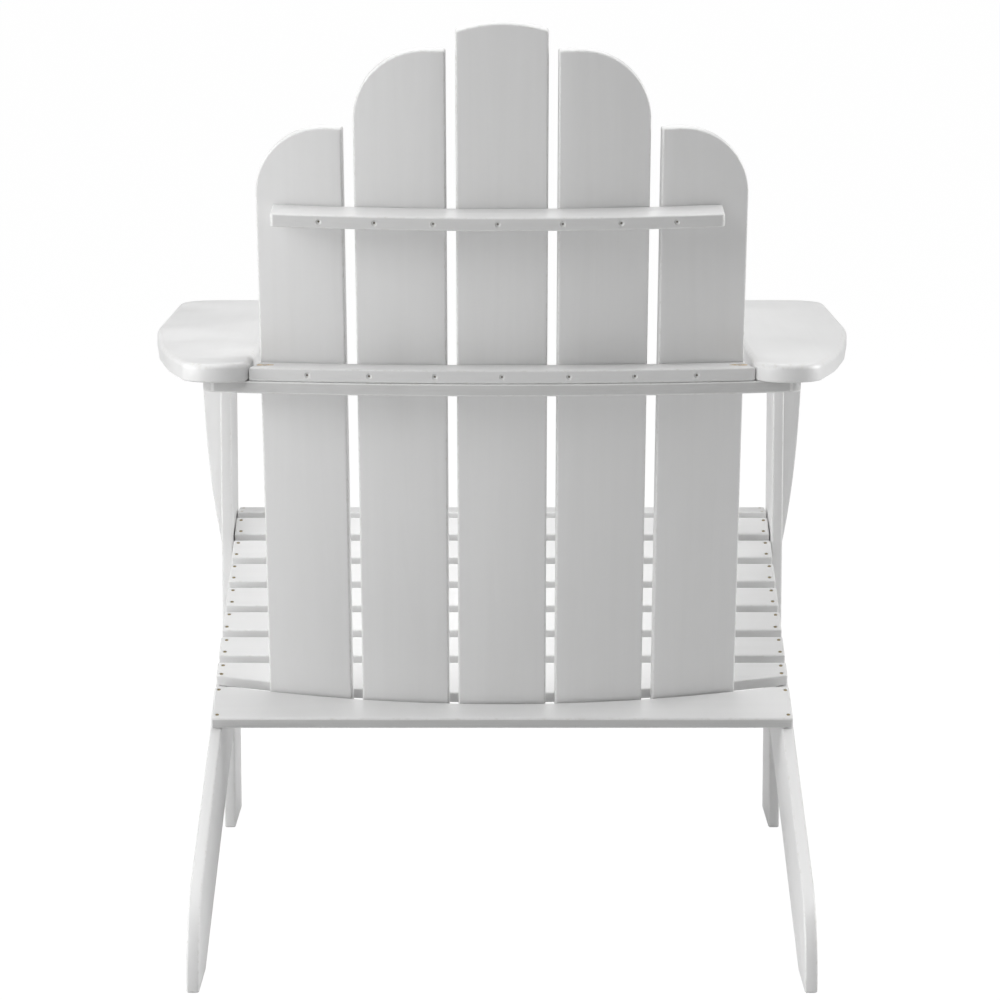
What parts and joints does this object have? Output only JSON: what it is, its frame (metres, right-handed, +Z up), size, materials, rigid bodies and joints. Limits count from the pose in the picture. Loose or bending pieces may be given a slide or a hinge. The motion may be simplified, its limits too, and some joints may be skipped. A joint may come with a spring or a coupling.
{
  "type": "adirondack chair",
  "caption": "Low garden chair of flat painted boards, with a sloping slatted seat, a tall fanned and reclined slat back on bowed rails, and wide flat arms",
  "frame": {"origin": "on the floor, in the middle of the chair's width and length", "axes": "+Z up, -Y is the way the sitter faces, +X is the sitter's left"},
  "size_m": [0.726, 0.841, 0.8972],
  "materials": {
    "painted_wood": "satin white paint over grain",
    "zinc_steel": "dull zinc",
    "bare_wood": "unpainted"
  },
  "bodies": {
    "root": {"arm_screw_1": "zinc_steel", "arm_screw_2": "zinc_steel", "arm_screw_3": "zinc_steel", "arm_screw_4": "zinc_steel", "arm_support_rail": "painted_wood", "back_slat_1": "painted_wood", "back_slat_2": "painted_wood", "back_slat_3": "painted_wood", "back_slat_4": "painted_wood", "back_slat_5": "painted_wood", "front_apron": "painted_wood", "left_arm": "painted_wood", "left_arm_bracket": "painted_wood", "left_arm_dowel_1": "bare_wood", "left_arm_dowel_2": "bare_wood", "left_bracket_screw_1": "zinc_steel", "left_bracket_screw_2": "zinc_steel", "left_front_leg": "painted_wood", "left_leg_screw_1": "zinc_steel", "left_leg_screw_2": "zinc_steel", "left_side_board": "painted_wood", "lower_back_rail": "painted_wood", "lower_rail_screw_1": "zinc_steel", "lower_rail_screw_2": "zinc_steel", "lower_rail_screw_3": "zinc_steel", "lower_rail_screw_4": "zinc_steel", "lower_rail_screw_5": "zinc_steel", "lower_rail_screw_6": "zinc_steel", "lower_rail_screw_7": "zinc_steel", "rail_end_screw_1": "zinc_steel", "rail_end_screw_2": "zinc_steel", "rear_seat_board": "painted_wood", "right_arm": "painted_wood", "right_arm_bracket": "painted_wood", "right_arm_dowel_1": "bare_wood", "right_arm_dowel_2": "bare_wood", "right_bracket_screw_1": "zinc_steel", "right_bracket_screw_2": "zinc_steel", "right_front_leg": "painted_wood", "right_leg_screw_1": "zinc_steel", "right_leg_screw_2": "zinc_steel", "right_side_board": "painted_wood", "seat_slat_1": "painted_wood", "seat_slat_2": "painted_wood", "seat_slat_3": "painted_wood", "seat_slat_4": "painted_wood", "seat_slat_5": "painted_wood", "seat_slat_6": "painted_wood", "seat_slat_7": "painted_wood", "seat_slat_8": "painted_wood", "upper_back_rail": "painted_wood", "upper_rail_screw_1": "zinc_steel", "upper_rail_screw_2": "zinc_steel", "upper_rail_screw_3": "zinc_steel", "upper_rail_screw_4": "zinc_steel", "upper_rail_screw_5": "zinc_steel", "upper_rail_screw_6": "zinc_steel", "upper_rail_screw_7": "zinc_steel"}
  },
  "joints": []
}
